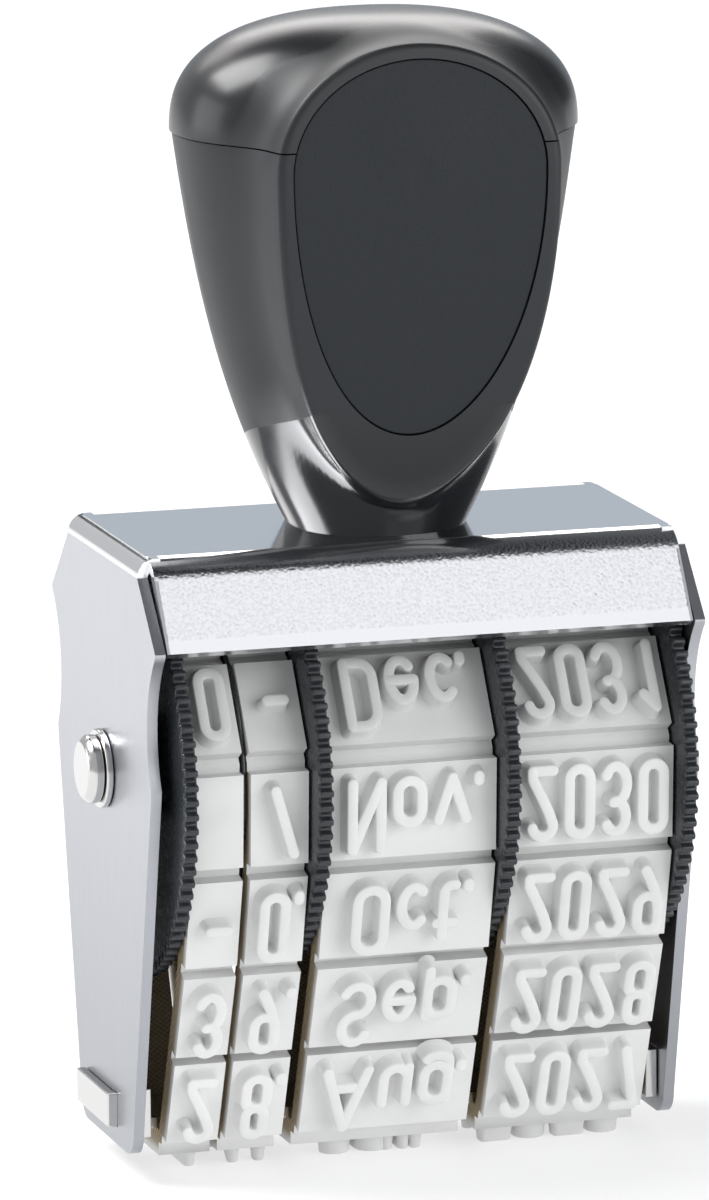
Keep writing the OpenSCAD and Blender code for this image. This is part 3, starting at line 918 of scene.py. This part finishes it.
@dataclass
class TypeFace:
    """Raised characters with flared flanks. Each is modelled once and copied. Sizes in mm."""

    flank: tuple[Point, ...] = ((0.58, -0.06), (0.47, 0.12), (0.4, 0.5), (0.365, 0.94), (0.335, 1.02), (0.28, 1.05))
    gap: float = 1.1
    stop_gap: float = 0.75
    weld: float = 0.0005
    end_turns: int = 5
    tightest: float = 0.85
    apart: float = 0.012

    def __post_init__(self) -> None:
        """Lays out the section from the left foot over the top to the right one."""
        self.masters: dict[str, Object] = {}
        top = self.flank[-1][1]
        self.section = np.array([*self.flank, (0.0, top), *((-half, rise) for half, rise in reversed(self.flank))])

    def rails(self, stroke: Sequence[Point]) -> tuple[Array, Array, Array, bool]:
        """A stroke's points, with their normals and bends.

        Args:
            stroke: the middle line.

        Returns:
            Points, unit normals to the left, bends to the left, and whether the stroke is closed.
        """
        points = np.array(stroke, float)
        closed = bool(np.allclose(points[0], points[-1])) and len(points) > 3
        if closed:
            ahead, behind = np.vstack([points[1:], points[1:2]]), np.vstack([points[-2:-1], points[:-1]])
        else:
            ahead, behind = np.vstack([points[1:], points[-1:]]), np.vstack([points[:1], points[:-1]])
        along = ahead - behind
        reach = np.linalg.norm(along, axis=1, keepdims=True)
        along /= reach
        last, following = points - behind, ahead - points
        turn = last[:, 0] * following[:, 1] - last[:, 1] * following[:, 0]
        spans = np.linalg.norm(last, axis=1) * np.linalg.norm(following, axis=1)
        bend = 2 * turn / np.maximum(spans * reach[:, 0], TINY**2)
        return points, np.stack([-along[:, 1], along[:, 0]], 1), bend, closed

    def rows(self, stroke: Sequence[Point]) -> Array:
        """Sections along a stroke, with round ends where it is open.

        Args:
            stroke: the middle line.

        Returns:
            Points by row along the stroke and by place in the section.
        """
        points, normals, bends, closed = self.rails(stroke)
        half, rise = self.section[:, 0], self.section[:, 1]
        rows = []
        for point, normal, bend in zip(points, normals, bends):
            limit = self.tightest / max(abs(bend), TINY)
            reach = np.where(half * bend > 0, np.clip(half, -limit, limit), half)
            rows.append(np.column_stack([point + reach[:, None] * normal, rise]))
        if closed:
            return np.array(rows)

        def end(point: Array, normal: Array, way: float) -> list[Array]:
            """Quarter turns of both halves of the section round a stroke's end."""
            along = way * np.array([normal[1], -normal[0]])
            turns = [math.pi / 2 * k / self.end_turns for k in range(1, self.end_turns + 1)]
            return [
                np.column_stack([
                    point + half[:, None] * math.cos(t) * normal + np.abs(half)[:, None] * math.sin(t) * along, rise
                ])
                for t in turns
            ]

        first, last = end(points[0], normals[0], -1), end(points[-1], normals[-1], 1)
        return np.array([*reversed(first), *rows, *last])

    def stroke(self, stroke: Sequence[Point]) -> Object:
        """One raised stroke: a sheet laid over its sections.

        Args:
            stroke: the middle line.

        Returns:
            The stroke.
        """
        rows = self.rows(stroke)
        down, across = rows.shape[0] - 1, rows.shape[1] - 1
        obj, flat = Bench.sheet("stroke", across, down)
        column, row = np.rint((flat[:, :2] + 1) / 2 * (across, down)).astype(int).T
        Bench.put(obj, rows[row, column])
        with Bench.editing(obj, "VERT"):
            bpy.ops.mesh.remove_doubles(threshold=self.weld)
            bpy.ops.mesh.normals_make_consistent(inside=False)
        if max(obj.data.polygons, key=lambda face: face.center.z).normal.z < 0:
            obj.data.flip_normals()
        return obj

    def master(self, sign: str) -> Object:
        """The one model of a character.

        Args:
            sign: the character.

        Returns:
            The model, out of the scene.
        """
        if sign not in self.masters:
            strokes = [self.stroke(s) for s in Pen.strokes(sign)]
            for k, stroke in enumerate(strokes):
                stroke.data.transform(Matrix.Translation((0, 0, -self.apart * k)))
            obj = Bench.join("type_" + str(ord(sign)), strokes)
            bpy.context.scene.collection.objects.unlink(obj)
            self.masters[sign] = obj
        return self.masters[sign]

    def line(self, legend: str, place: Matrix) -> list[Object]:
        """The characters of one legend, centred on its block.

        Args:
            legend: what it says.
            place: from legend to stamp.

        Returns:
            The copies.
        """
        widths = [max(x for stroke in Pen.strokes(c) for x, _ in stroke) for c in legend]
        gaps = [self.gap * (self.stop_gap if c == "." else 1.0) for c in legend[1:]]
        pen = -(sum(widths) + sum(gaps)) / 2
        copies = []
        for sign, width, gap in zip(legend, widths, [*gaps, 0.0]):
            obj = Bench.add("type", self.master(sign).data.copy())
            obj.data.transform(place @ Matrix.Translation((pen, -Pen.tall / 2, 0)))
            obj.data.flip_normals()
            copies.append(obj)
            pen += width + gap
        return copies


@dataclass
class BandPath:
    """The bending line that all bands follow, seen from the side. Sizes in mm and degrees."""

    pitch: float = 6.6
    backing: float = 0.5
    block: float = 1.2
    web: float = 0.3
    groove: float = 0.6
    type_height: float = 1.05
    leans: tuple[float, ...] = (21, 21, 14, 2, -33)

    def __post_init__(self) -> None:
        """Works out the corners, front half first."""
        climb = [np.array([-self.pitch / 2, self.type_height + self.block + self.backing / 2])]
        for lean in self.leans:
            turn = math.radians(lean)
            climb.append(climb[-1] + self.pitch * np.array([-math.sin(turn), math.cos(turn)]))
        last = climb[-1]
        top = np.array([0.0, last[1] + math.sqrt(self.pitch**2 - last[0] ** 2)])
        back = [p * np.array([-1, 1]) for p in reversed(climb)]
        self.corners = np.array([*climb, top, *back])
        self.count = len(self.corners)

    def corner(self, i: int) -> Array:
        """Corner i of the loop."""
        return self.corners[i % self.count]

    def along(self, i: int) -> Array:
        """Unit vector along block i."""
        return (self.corner(i + 1) - self.corner(i)) / self.pitch

    def outward(self, i: int) -> Array:
        """Unit vector out of block i."""
        run = self.along(i)
        return np.array([-run[1], run[0]])

    def mitre(self, i: int, offset: float) -> Array:
        """Corner i of the loop that lies outside by an offset."""
        a, b = self.outward(i - 1), self.outward(i)
        return self.corner(i) + offset * (a + b) / (1 + a @ b)

    def profile(self, foot: float) -> tuple[Array, Array]:
        """Outer and inner side view of the rubber, point for point.

        Args:
            foot: height of the rubber's foot over the bending line.

        Returns:
            The two loops.
        """
        half = self.groove / 2
        edges = ((half, self.web), (half, self.block), (self.pitch - half, self.block), (self.pitch - half, self.web))
        outer, inner = [], []
        for i in range(self.count):
            outer.append(self.mitre(i, foot + self.web))
            inner.append(self.mitre(i, foot))
            for run, rise in edges:
                at = self.corner(i) + run * self.along(i) + foot * self.outward(i)
                outer.append(at + rise * self.outward(i))
                inner.append(at)
        return np.array(outer), np.array(inner)

    def block_place(self, i: int, x: float) -> Matrix:
        """From a legend, read the right way up, to the face of block i.

        Args:
            i: the block.
            x: middle of the band.

        Returns:
            The placing.
        """
        run, out = self.along(i), self.outward(i)
        middle = (self.corner(i) + self.corner(i + 1)) / 2 + (self.backing / 2 + self.block) * out
        return Matrix((
            (1, 0, 0, x),
            (0, -run[0], out[0], middle[0]),
            (0, -run[1], out[1], middle[1]),
            (0, 0, 0, 1),
        ))


@dataclass
class TypeBand:
    """One endless rubber band on its woven backing."""

    name: str
    legends: tuple[str, ...]
    edge: float = 0.1
    edge_angle: float = 25.0
    side_normal: float = 0.9
    side_depth: float = 0.02

    def build(self, path: BandPath, face: TypeFace, rubber: Material, woven: Material) -> None:
        """Makes the band and dresses its backing.

        Args:
            path: the loop that it follows.
            face: its type.
            rubber: its material.
            woven: its backing's material.
        """
        low, high = (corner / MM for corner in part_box(self.name + "_band"))
        blocks = self.ring(path, low.x, high.x)
        pieces = [blocks]
        for i, legend in enumerate(self.legends):
            if legend:
                pieces += face.line(legend, path.block_place(i, (low.x + high.x) / 2))
        band = Bench.join(self.name + "_type", pieces)
        Bench.pick(band)
        bpy.ops.object.shade_smooth_by_angle(angle=math.radians(FOLD_ANGLE))
        Bench.fit(band, Body.ROOT, Slot.RUBBER, rubber, self.name + "_band")
        Bench.dress_node(self.name + "_backing", woven)

    def ring(self, path: BandPath, left: float, right: float) -> Object:
        """The loop of plain blocks.

        Args:
            path: the loop.
            left: left edge.
            right: right edge.

        Returns:
            The blocks with broken edges.
        """
        loops = []
        Bench.clear()
        for loop in path.profile(path.backing / 2):
            bpy.ops.mesh.primitive_circle_add(vertices=len(loop), fill_type="NOTHING")
            obj = Bench.new("loop")
            Bench.put(obj, np.hstack([np.full((len(loop), 1), left), loop]))
            loops.append(obj)
        obj = Bench.join("blocks", loops)
        with Bench.editing(obj, "EDGE"):
            bpy.ops.mesh.bridge_edge_loops()
            bpy.ops.mesh.select_mode(type="FACE")
            bpy.ops.mesh.select_all(action="SELECT")
            bpy.ops.mesh.extrude_region_move(TRANSFORM_OT_translate={"value": (right - left, 0, 0)})
        Bench.outward(obj)
        Bench.soften(obj, self.edge, angle=self.edge_angle)
        self.mark_edge(obj, path, left)
        return obj

    def mark_edge(self, obj: Object, path: BandPath, left: float) -> None:
        """Marks where the left edge is stained by the backing: 1 at its foot, 0 at its top.

        Args:
            obj: the blocks.
            path: the loop.
            left: left edge.
        """
        points = Bench.points(obj)
        starts = np.array([path.mitre(i, path.backing / 2) for i in range(path.count)])
        spans = np.roll(starts, -1, 0) - starts
        offsets = points[:, None, 1:] - starts
        share = np.clip((offsets * spans).sum(-1) / (spans * spans).sum(-1), 0, 1)
        height = np.linalg.norm(offsets - share[..., None] * spans, axis=-1).min(1)
        marks = np.zeros(len(obj.data.loops), np.float32)
        for polygon in obj.data.polygons:
            if polygon.normal.x < -self.side_normal and polygon.center.x < left + self.side_depth:
                marks[list(polygon.loop_indices)] = np.clip(1 - height[list(polygon.vertices)] / path.block, 0, 1)
        obj.data.attributes.new(EDGE, "FLOAT", "CORNER").data.foreach_set("value", marks)


@dataclass
class Handle:
    """Moulded handle: a swelling grip, a domed cap, and a raised shield with an inlaid panel. Sizes in mm."""

    neck: float = 5.7
    grip_x: float = 13.0
    grip_y: float = 9.4
    swell: Point = (1.87, 0.5)
    grip_power: float = 2.2
    cap_power: float = 2.5
    cap_height: float = 7.5
    cap_lip: float = 0.15
    seam_gap: float = 0.1
    shield_x: float = 9.3
    shield_up: float = 8.0
    shield_down: float = 21.5
    shield_y: float = 10.1
    shield_flare: float = 1.25
    shield_radius: float = 60.0
    face_drop: float = 1.0
    shield_rise: float = 24.0
    chin_lift: float = 1.0
    chin_proud: float = 0.4
    chin_rise: float = 2.0
    rim: float = 1.0
    panel_down: float = 17.1
    panel_thick: float = 0.8
    panel_drop: float = 0.1
    panel_gap: float = 0.07
    edge_blend: float = 0.5
    skirt_blend: float = 1.3
    moulded_edge: float = 0.1
    panel_edge: float = 0.09
    panel_segments: int = 3
    panel_rings: int = 12
    panel_spokes: int = 192
    spokes: int = 288
    ring_counts: tuple[int, ...] = (10, 6, 12, 16, 64)
    edge_turn: float = 0.05
    edge_share: float = 0.35
    skirt_turn: float = 0.38
    front_span: Point = (-15.0, -3.0)
    farthest: float = 40.0
    spare_foot: float = 9.0
    halvings: int = 44
    below_foot: float = 0.1
    cut_weld: float = 1e-5

    def __post_init__(self) -> None:
        """Takes the heights from the solids."""
        self.foot_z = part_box("handle_body")[0].z / MM
        self.seam_z = (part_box("handle_body")[1].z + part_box("handle_cap")[0].z) / 2 / MM
        self.seam_rise = self.seam_z - self.foot_z
        self.middle_z = self.foot_z + self.shield_rise

    @staticmethod
    def soft_max(a: Array, b: Array, blend: float) -> Array:
        """Larger of two distances, with a rounded change over a width of blend."""
        share = np.maximum(blend - np.abs(a - b), 0.0) / blend
        return np.maximum(a, b) + share * share * blend / 4

    def core(self, x: Array, y: Array, z: Array, lip: float) -> Array:
        """Distance from the grip and the dome.

        Args:
            x: places across.
            y: places in depth.
            z: places upwards.
            lip: how far the whole stands out.

        Returns:
            Distances, below 0 inside.
        """
        u = np.clip((z - self.foot_z) / self.seam_rise, -self.below_foot, 1.0)
        start, end = self.swell
        grown = u * u * (3 - 2 * u) + start * u * (1 - u) ** 2 - end * u * u * (1 - u)
        half_x = self.neck + (self.grip_x - self.neck) * grown + lip
        half_y = self.neck + (self.grip_y - self.neck) * grown + lip
        p, c = self.grip_power, self.cap_power
        ring = (np.abs(x / half_x) ** p + np.abs(y / half_y) ** p) ** (1 / p)
        rise = np.maximum(z - self.seam_z, 0.0)
        share = np.maximum((ring**c + (rise / self.cap_height) ** c) ** (1 / c), TINY)
        far = np.sqrt(x * x + y * y + rise * rise)
        return far * (1 - 1 / share)

    def face_y(self, z: Array) -> Array:
        """Depth of the shield's face at a height."""
        rise = z - self.middle_z + self.face_drop
        return self.shield_radius - self.shield_y - np.sqrt(self.shield_radius**2 - rise**2)

    def form(self, x: Array, y: Array, z: Array, lip: float) -> Array:
        """Distance from the whole handle, with the shield's skirt blended into the grip.

        Args:
            x: places across.
            y: places in depth.
            z: places upwards.
            lip: how far the grip and the dome stand out.

        Returns:
            Distances, below 0 inside.
        """
        depth = np.clip(-y / self.shield_y, 0.0, 1.0)
        dx = x / (self.shield_flare - (self.shield_flare - 1) * depth)
        dz = z - self.middle_z
        tall = np.where(dz > 0, self.shield_up, self.shield_down)
        reach = np.sqrt((dx / self.shield_x) ** 2 + (dz / tall) ** 2)
        outline = np.sqrt(dx * dx + dz * dz) * (1 - 1 / np.maximum(reach, TINY))
        middle_y = self.shield_radius - self.shield_y
        face = np.sqrt((y - middle_y) ** 2 + (dz + self.face_drop) ** 2) - self.shield_radius
        slope = math.hypot(1, self.chin_rise)
        chin_y = self.neck + self.chin_proud
        chin = ((-y - chin_y) * self.chin_rise - (z - self.foot_z - self.chin_lift)) / slope
        front = np.maximum(self.soft_max(face, chin, self.edge_blend), y)
        shield = self.soft_max(outline, front, self.edge_blend)
        return -self.soft_max(-self.core(x, y, z, lip), -shield, self.skirt_blend)

    def front_y(self, x: Array, z: Array) -> Array:
        """Depth of the handle's front at places across and upwards."""
        clear, deep = (np.full_like(x, y) for y in self.front_span)
        return self.crossing(lambda y: self.form(x, y, z, 0.0) < 0, deep, clear)

    def crossing(self, inside: Callable[[Array], Array], deep: Array, clear: Array) -> Array:
        """Where lines leave a form, by halving.

        Args:
            inside: tells which places along the lines are inside.
            deep: places inside.
            clear: places outside.

        Returns:
            The last places inside.
        """
        for _ in range(self.halvings):
            middle = (deep + clear) / 2
            within = inside(middle)
            deep, clear = np.where(within, middle, deep), np.where(within, clear, middle)
        return deep

    def inlay(self, gap: float) -> Triple:
        """Half width, rise and drop of an outline that lies outside the panel's by a gap."""
        return self.shield_x - self.rim + gap, self.shield_up - self.rim + gap, self.panel_down + gap

    @staticmethod
    def polar(spoke: Array, half: float, up: float, down: float) -> Array:
        """Distance of an egg-shaped outline from the shield's middle along each spoke."""
        tall = np.where(np.sin(spoke) > 0, up, down)
        return 1 / np.sqrt((np.cos(spoke) / half) ** 2 + (np.sin(spoke) / tall) ** 2)

    def rings(self, spoke: Array) -> Array:
        """Angles from the front at which the form is measured, closer together at its edges.

        Args:
            spoke: the spokes' angles.

        Returns:
            Angles, one row for each ring from the front pole to the back one.
        """
        seat = self.polar(spoke, *self.inlay(self.panel_gap))
        rim = self.polar(spoke, self.shield_x, self.shield_up, self.shield_down)
        seat_y = self.front_y(seat * np.cos(spoke), self.middle_z + seat * np.sin(spoke))
        rim_y = self.face_y(self.middle_z + rim * np.sin(spoke))
        inner, outer = np.arctan2(seat, -seat_y), np.arctan2(rim, -rim_y)
        edge = np.minimum(self.edge_turn, (outer - inner) * self.edge_share)
        poles = np.zeros_like(spoke), np.full_like(spoke, math.pi)
        stops = (poles[0], inner, outer - edge, outer + edge, outer + self.skirt_turn, poles[1])
        rows = [stops[0]]
        for start, end, count in zip(stops, stops[1:], self.ring_counts):
            rows += [start + (end - start) * k / count for k in range(1, count + 1)]
        return np.array(rows)

    def shell(self, name: str, lip: float) -> Object:
        """The whole outside of the handle, as a ball drawn onto the form, with the panel's seat sunk in.

        Args:
            name: the shell's name.
            lip: how far the grip and the dome stand out.

        Returns:
            The shell.
        """
        spoke = np.arange(self.spokes) * 2 * math.pi / self.spokes
        lean = self.rings(spoke)
        rows = len(lean) - 1
        ways = np.stack([np.sin(lean) * np.cos(spoke), -np.cos(lean), np.sin(lean) * np.sin(spoke)], -1)

        def inside(far: Array) -> Array:
            """Whether places at a distance along each way are in the form, which ends below its foot."""
            x, y, z = np.moveaxis(ways * far[..., None], -1, 0)
            z = z + self.middle_z
            return np.maximum(self.form(x, y, z, lip), self.foot_z - self.spare_foot - z) < 0

        far = self.crossing(inside, np.zeros(lean.shape), np.full(lean.shape, self.farthest))
        points = ways * far[..., None] + np.array([0, 0, self.middle_z])
        obj, row, turn = Bench.ball(name, self.spokes, rows)
        column = np.rint(turn / (2 * math.pi) * self.spokes).astype(int) % self.spokes
        Bench.put(obj, points[row, column])
        Bench.outward(obj)
        self.sink_seat(obj)
        return obj

    def sink_seat(self, obj: Object) -> None:
        """Sinks the panel's seat into the shell.

        Args:
            obj: the shell.
        """
        half, up, down = self.inlay(self.panel_gap)
        with Bench.editing(obj, everything=False):
            bpy.ops.mesh.select_all(action="DESELECT")
        for polygon in obj.data.polygons:
            x, y, z = polygon.center
            tall = up if z > self.middle_z else down
            polygon.select = y < 0 and (x / half) ** 2 + ((z - self.middle_z) / tall) ** 2 < 1
        deep = self.panel_drop + self.panel_thick + self.seam_gap
        with Bench.editing(obj, everything=False):
            bpy.ops.mesh.extrude_region_move(TRANSFORM_OT_translate={"value": (0, deep, 0)})

    def cut(self, obj: Object, height: float, keep_above: bool) -> None:
        """Cuts a piece level and closes it.

        Args:
            obj: the piece.
            height: where it is cut.
            keep_above: which side stays.
        """
        with Bench.editing(obj):
            bpy.ops.mesh.bisect(
                plane_co=(0, 0, height), plane_no=(0, 0, 1), use_fill=True,
                clear_inner=keep_above, clear_outer=not keep_above, threshold=self.cut_weld,
            )

    def panel(self) -> Object:
        """The inlaid panel, as a flattened ball: front face, wall and back face."""
        steps = self.panel_rings
        rows = 2 * steps + 1
        obj, row, spoke = Bench.ball("panel_inlay", self.panel_spokes, rows)
        reach = np.minimum(row, rows - row) / steps * self.polar(spoke, *self.inlay(0.0))
        x, z = reach * np.cos(spoke), self.middle_z + reach * np.sin(spoke)
        y = self.front_y(x, z) + self.panel_drop + np.where(row <= steps, 0.0, self.panel_thick)
        Bench.put(obj, np.stack([x, y, z], 1))
        Bench.outward(obj)
        Bench.soften(obj, self.panel_edge, self.panel_segments)
        return obj

    def build(self) -> None:
        """Makes and dresses the grip, the cap and the panel."""
        shield = ShieldMap(self.shield_x, self.shield_up, self.shield_down, self.middle_z)
        grip, cap = self.shell("grip", 0.0), self.shell("cap", self.cap_lip)
        self.cut(grip, self.seam_z - self.seam_gap / 2, False)
        self.cut(grip, self.foot_z, True)
        self.cut(cap, self.seam_z + self.seam_gap / 2, True)
        for piece in (grip, cap):
            Bench.soften(piece, self.moulded_edge)
        Bench.fit(grip, Body.ROOT, Slot.GRIP, GripFinish().material(shield), "handle_body")
        Bench.fit(cap, Body.ROOT, Slot.CAP, CapFinish().material(shield), "handle_cap")
        Bench.fit(self.panel(), Body.ROOT, Slot.PANEL, PanelFinish().material(), "front_panel")


class Bands:
    """All four type bands in reading order."""

    months = ("Aug.", "Sep.", "Oct.", "Nov.", "Dec.", "", "Jan.", "Feb.", "Mar.", "Apr.", "May.", "Jun.", "Jul.")
    years = ("2027", "2028", "2029", "2030", "2031", "2032", "", "2021", "2022", "2023", "2024", "2025", "2026")
    tens = ("2", "3", "-", "", "0", "1", "2", "3", "", "-", "", "0", "1")
    units = ("8.", "9.", "0.", "/", "-", "", "1.", "2.", "3.", "4.", "5.", "6.", "7.")

    def build(self) -> None:
        """Makes the four bands."""
        path, face = BandPath(), TypeFace()
        rubber, woven = RubberFinish().material(), WovenFinish().material()
        legends = {"day_tens": self.tens, "day_units": self.units, "month": self.months, "year": self.years}
        for name, lines in legends.items():
            TypeBand(name, lines).build(path, face, rubber, woven)
        for master in face.masters.values():
            bpy.data.objects.remove(master)


@dataclass(frozen=True)
class Softbox:
    """An area lamp, aimed at the stamp."""

    name: str
    way: Triple
    distance: float
    size: Point
    radiance: float

    def power(self) -> float:
        """Watts that Blender gives a lamp of this size and radiance."""
        return LAMP_WATTS * self.size[0] * self.size[1] * self.radiance


@dataclass(frozen=True)
class Card:
    """A curved card that only reflections see. Angles in degrees, across from straight behind to the right."""

    name: str
    across: Point
    upward: Point
    colour: Colour
    distance: float = 0.9

    def build(self) -> None:
        """Hangs the card round the stamp."""
        obj, flat = Bench.sheet(self.name, *CARD_FACES)
        turn = np.radians(np.interp(flat[:, 0], (-1, 1), self.across))
        rise = np.radians(np.interp(flat[:, 1], (-1, 1), self.upward))
        ways = np.stack([np.cos(rise) * np.sin(turn), np.cos(rise) * np.cos(turn), np.sin(rise)], 1)
        Bench.put(obj, ways * self.distance)
        Card.dress(obj, self.colour, self.colour)

    @staticmethod
    def dress(obj: Object, left: Colour, right: Colour) -> None:
        """Gives a card its colours and hides it from all but reflections.

        Args:
            obj: the card.
            left: its colour in the middle and to the left.
            right: its colour further right.
        """
        g = Graph(obj.name)
        colour = g.mix(g.step(g.axes()[0], *CARD_FADE), left, right)
        g.finish(g.value("Emission", {"Color": colour}))
        obj.data.materials.append(g.material)
        obj.visible_camera = obj.visible_diffuse = obj.visible_shadow = False


@dataclass
class Studio:
    """Pale floor, soft lamps, reflection cards and the camera. Lengths in metres."""

    azimuth: float = -17.2
    elevation: float = 11.34
    roll: float = -0.25
    distance: float = 0.6215
    aim: Triple = (0.0, 0.0, 0.0358)
    aside: float = 0.00135
    lens: float = 290.6
    sensor: float = 36.0
    clip_start: float = 0.01
    sky: Colour = (0.57, 0.575, 0.585)
    floor_size: float = 8.0
    floor_colour: Colour = (0.45, 0.45, 0.45)
    floor_rough: float = 0.9
    floor_specular: float = 0.1
    floor_glow: float = 0.56
    roof_place: Triple = (0.13, 0.22, 0.62)
    roof_size: Point = (0.76, 0.88)
    roof_dark: Colour = (0.012, 0.013, 0.015)
    roof_pale: Colour = (0.11, 0.115, 0.12)
    softboxes: tuple[Softbox, ...] = (
        Softbox("front_box", (0.62, -0.75, 0.28), 0.7, (0.5, 0.45), 2.4),
        Softbox("left_box", (-0.53, 0.3, 0.79), 0.6, (0.36, 0.34), 8.2),
        Softbox("side_box", (-0.85, 0.3, 0.15), 0.7, (0.45, 0.35), 1.6),
        Softbox("back_box", (0.3, 0.85, 0.45), 0.8, (0.5, 0.16), 1.5),
    )
    cards: tuple[Card, ...] = (
        Card("horizon_card", (-4.0, 46.0), (0.0, 16.0), (0.46, 0.505, 0.56)),
        Card("seam_card", (-3.0, 11.0), (17.0, 23.0), (0.08, 0.085, 0.09)),
        Card("crown_card", (-22.0, 34.0), (24.0, 42.0), (2.7, 2.62, 2.58)),
        Card("right_card", (50.0, 135.0), (3.0, 62.0), (0.12, 0.125, 0.13)),
        Card("flap_card", (130.0, 174.0), (42.0, 61.0), (1.06, 1.06, 1.09)),
    )

    def camera(self) -> None:
        """Sets the camera at the photograph's angle."""
        az, el = math.radians(self.azimuth), math.radians(self.elevation)
        way = Vector((math.cos(el) * math.sin(az), -math.cos(el) * math.cos(az), math.sin(el)))
        right = Vector((0, 0, 1)).cross(way).normalized()
        data = bpy.data.cameras.new("camera")
        data.lens = self.lens
        data.sensor_width = self.sensor
        data.clip_start = self.clip_start
        cam = Bench.add("camera", data)
        cam.location = Vector(self.aim) + way * self.distance
        look = Vector(self.aim) - right * self.aside - cam.location
        turn = look.to_track_quat("-Z", "Y").to_matrix().to_4x4()
        roll = Matrix.Rotation(math.radians(self.roll), 4, "Z")
        cam.matrix_world = Matrix.Translation(cam.location) @ turn @ roll
        bpy.context.scene.camera = cam

    def lamps(self) -> None:
        """Hangs the softboxes."""
        for box in self.softboxes:
            data = bpy.data.lights.new(box.name, "AREA")
            data.shape = "RECTANGLE"
            data.size, data.size_y = box.size
            data.energy = box.power()
            lamp = Bench.add(box.name, data)
            way = Vector(box.way).normalized()
            lamp.location = Vector(self.aim) + way * box.distance
            lamp.rotation_euler = (-way).to_track_quat("-Z", "Y").to_euler()

    def world(self) -> None:
        """Even pale surroundings."""
        world = bpy.data.worlds.new("studio")
        bpy.context.scene.world = world
        world.use_nodes = True
        world.node_tree.nodes["Background"].inputs["Color"].default_value = opaque(self.sky)

    def floor(self) -> None:
        """Lays the pale floor, lit a little from below so that the shadow stays soft."""
        Bench.clear()
        bpy.ops.mesh.primitive_plane_add(size=self.floor_size)
        floor = Bench.new("floor")
        paper = Graph("floor_paper").surface(
            Base_Color=opaque(self.floor_colour), Roughness=self.floor_rough,
            Specular_IOR_Level=self.floor_specular, Emission_Strength=self.floor_glow, Emission_Color=(1, 1, 1, 1),
        )
        floor.data.materials.append(paper)

    def roof(self) -> None:
        """Hangs a dark card overhead."""
        Bench.clear()
        bpy.ops.mesh.primitive_plane_add(size=1.0)
        roof = Bench.new("roof_card")
        Bench.put(roof, np.array(self.roof_place) + Bench.points(roof) * np.array([*self.roof_size, 0.0]))
        Card.dress(roof, self.roof_dark, self.roof_pale)

    def build(self) -> None:
        """Sets up the whole studio."""
        bpy.context.scene.view_settings.view_transform = "Standard"
        self.camera()
        self.lamps()
        self.world()
        self.floor()
        self.roof()
        for card in self.cards:
            card.build()


def main() -> None:
    """Builds the stamp's pieces and the studio."""
    logging.basicConfig(level=logging.INFO, format="%(message)s")
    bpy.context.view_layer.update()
    Fittings().build()
    Bands().build()
    Handle().build()
    Studio().build()


if __name__ == "__main__":
    main()
